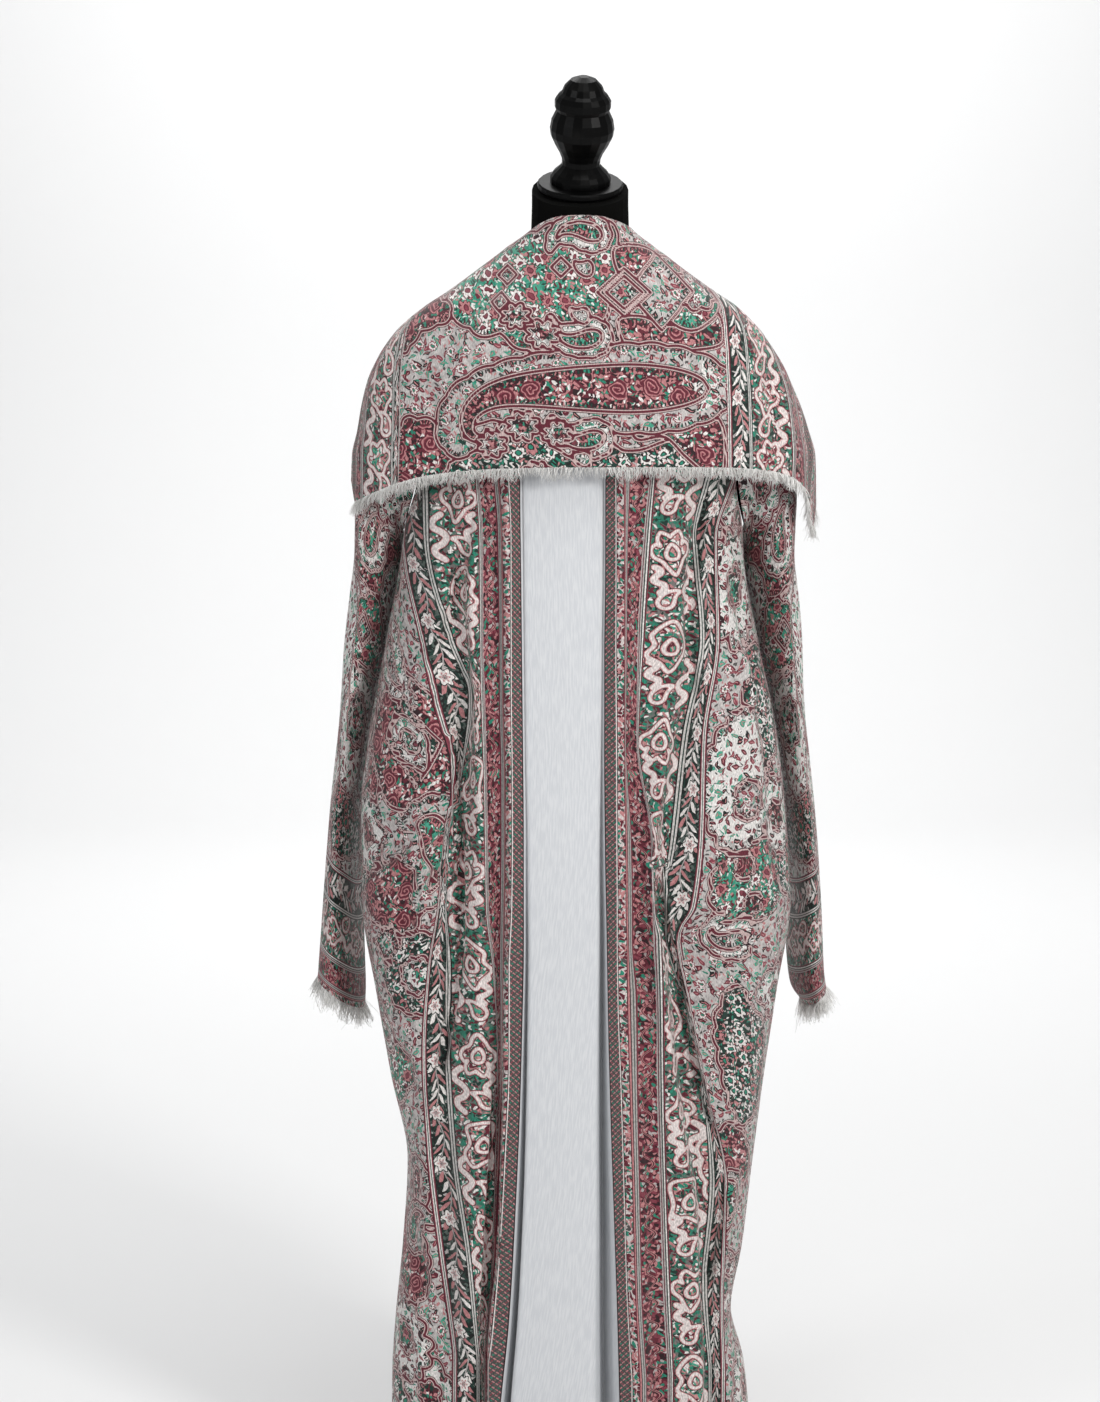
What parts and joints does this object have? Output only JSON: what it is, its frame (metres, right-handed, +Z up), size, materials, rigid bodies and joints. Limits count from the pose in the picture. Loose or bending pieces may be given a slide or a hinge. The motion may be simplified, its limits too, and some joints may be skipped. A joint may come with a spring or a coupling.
{
  "type": "abaya on a dress form",
  "caption": "Long open-front abaya of paisley shawl cloth with a fringed cape collar, straight sleeves and a pleated pale back inset, worn by a black dress form on a stand.",
  "frame": {"origin": "centre of the stand base's flat underside, on the floor", "axes": "+Z up, -Y out of the garment's back (the side in the picture), -X to the wearer's left"},
  "size_m": [0.5959, 0.33, 1.6348],
  "materials": {
    "shawl_cloth": "woven wool and silk shawl cloth with a paisley pattern, soft sheen",
    "crepe": "matt crinkled crepe",
    "fringe_yarn": "frayed off-white warp yarn",
    "form_jersey": "black matt velvet jersey",
    "black_wood": "turned wood, satin black paint"
  },
  "bodies": {
    "root": {"back_left": "shawl_cloth", "back_right": "shawl_cloth", "front_left": "shawl_cloth", "front_right": "shawl_cloth", "sleeve_left": "shawl_cloth", "sleeve_right": "shawl_cloth", "collar": "shawl_cloth", "back_inset": "crepe", "fringe_collar": "fringe_yarn", "fringe_cuff_left": "fringe_yarn", "fringe_cuff_right": "fringe_yarn", "form_torso": "form_jersey", "form_cap": "black_wood", "form_finial": "black_wood", "stand_pole": "black_wood", "stand_base": "black_wood"}
  },
  "joints": []
}
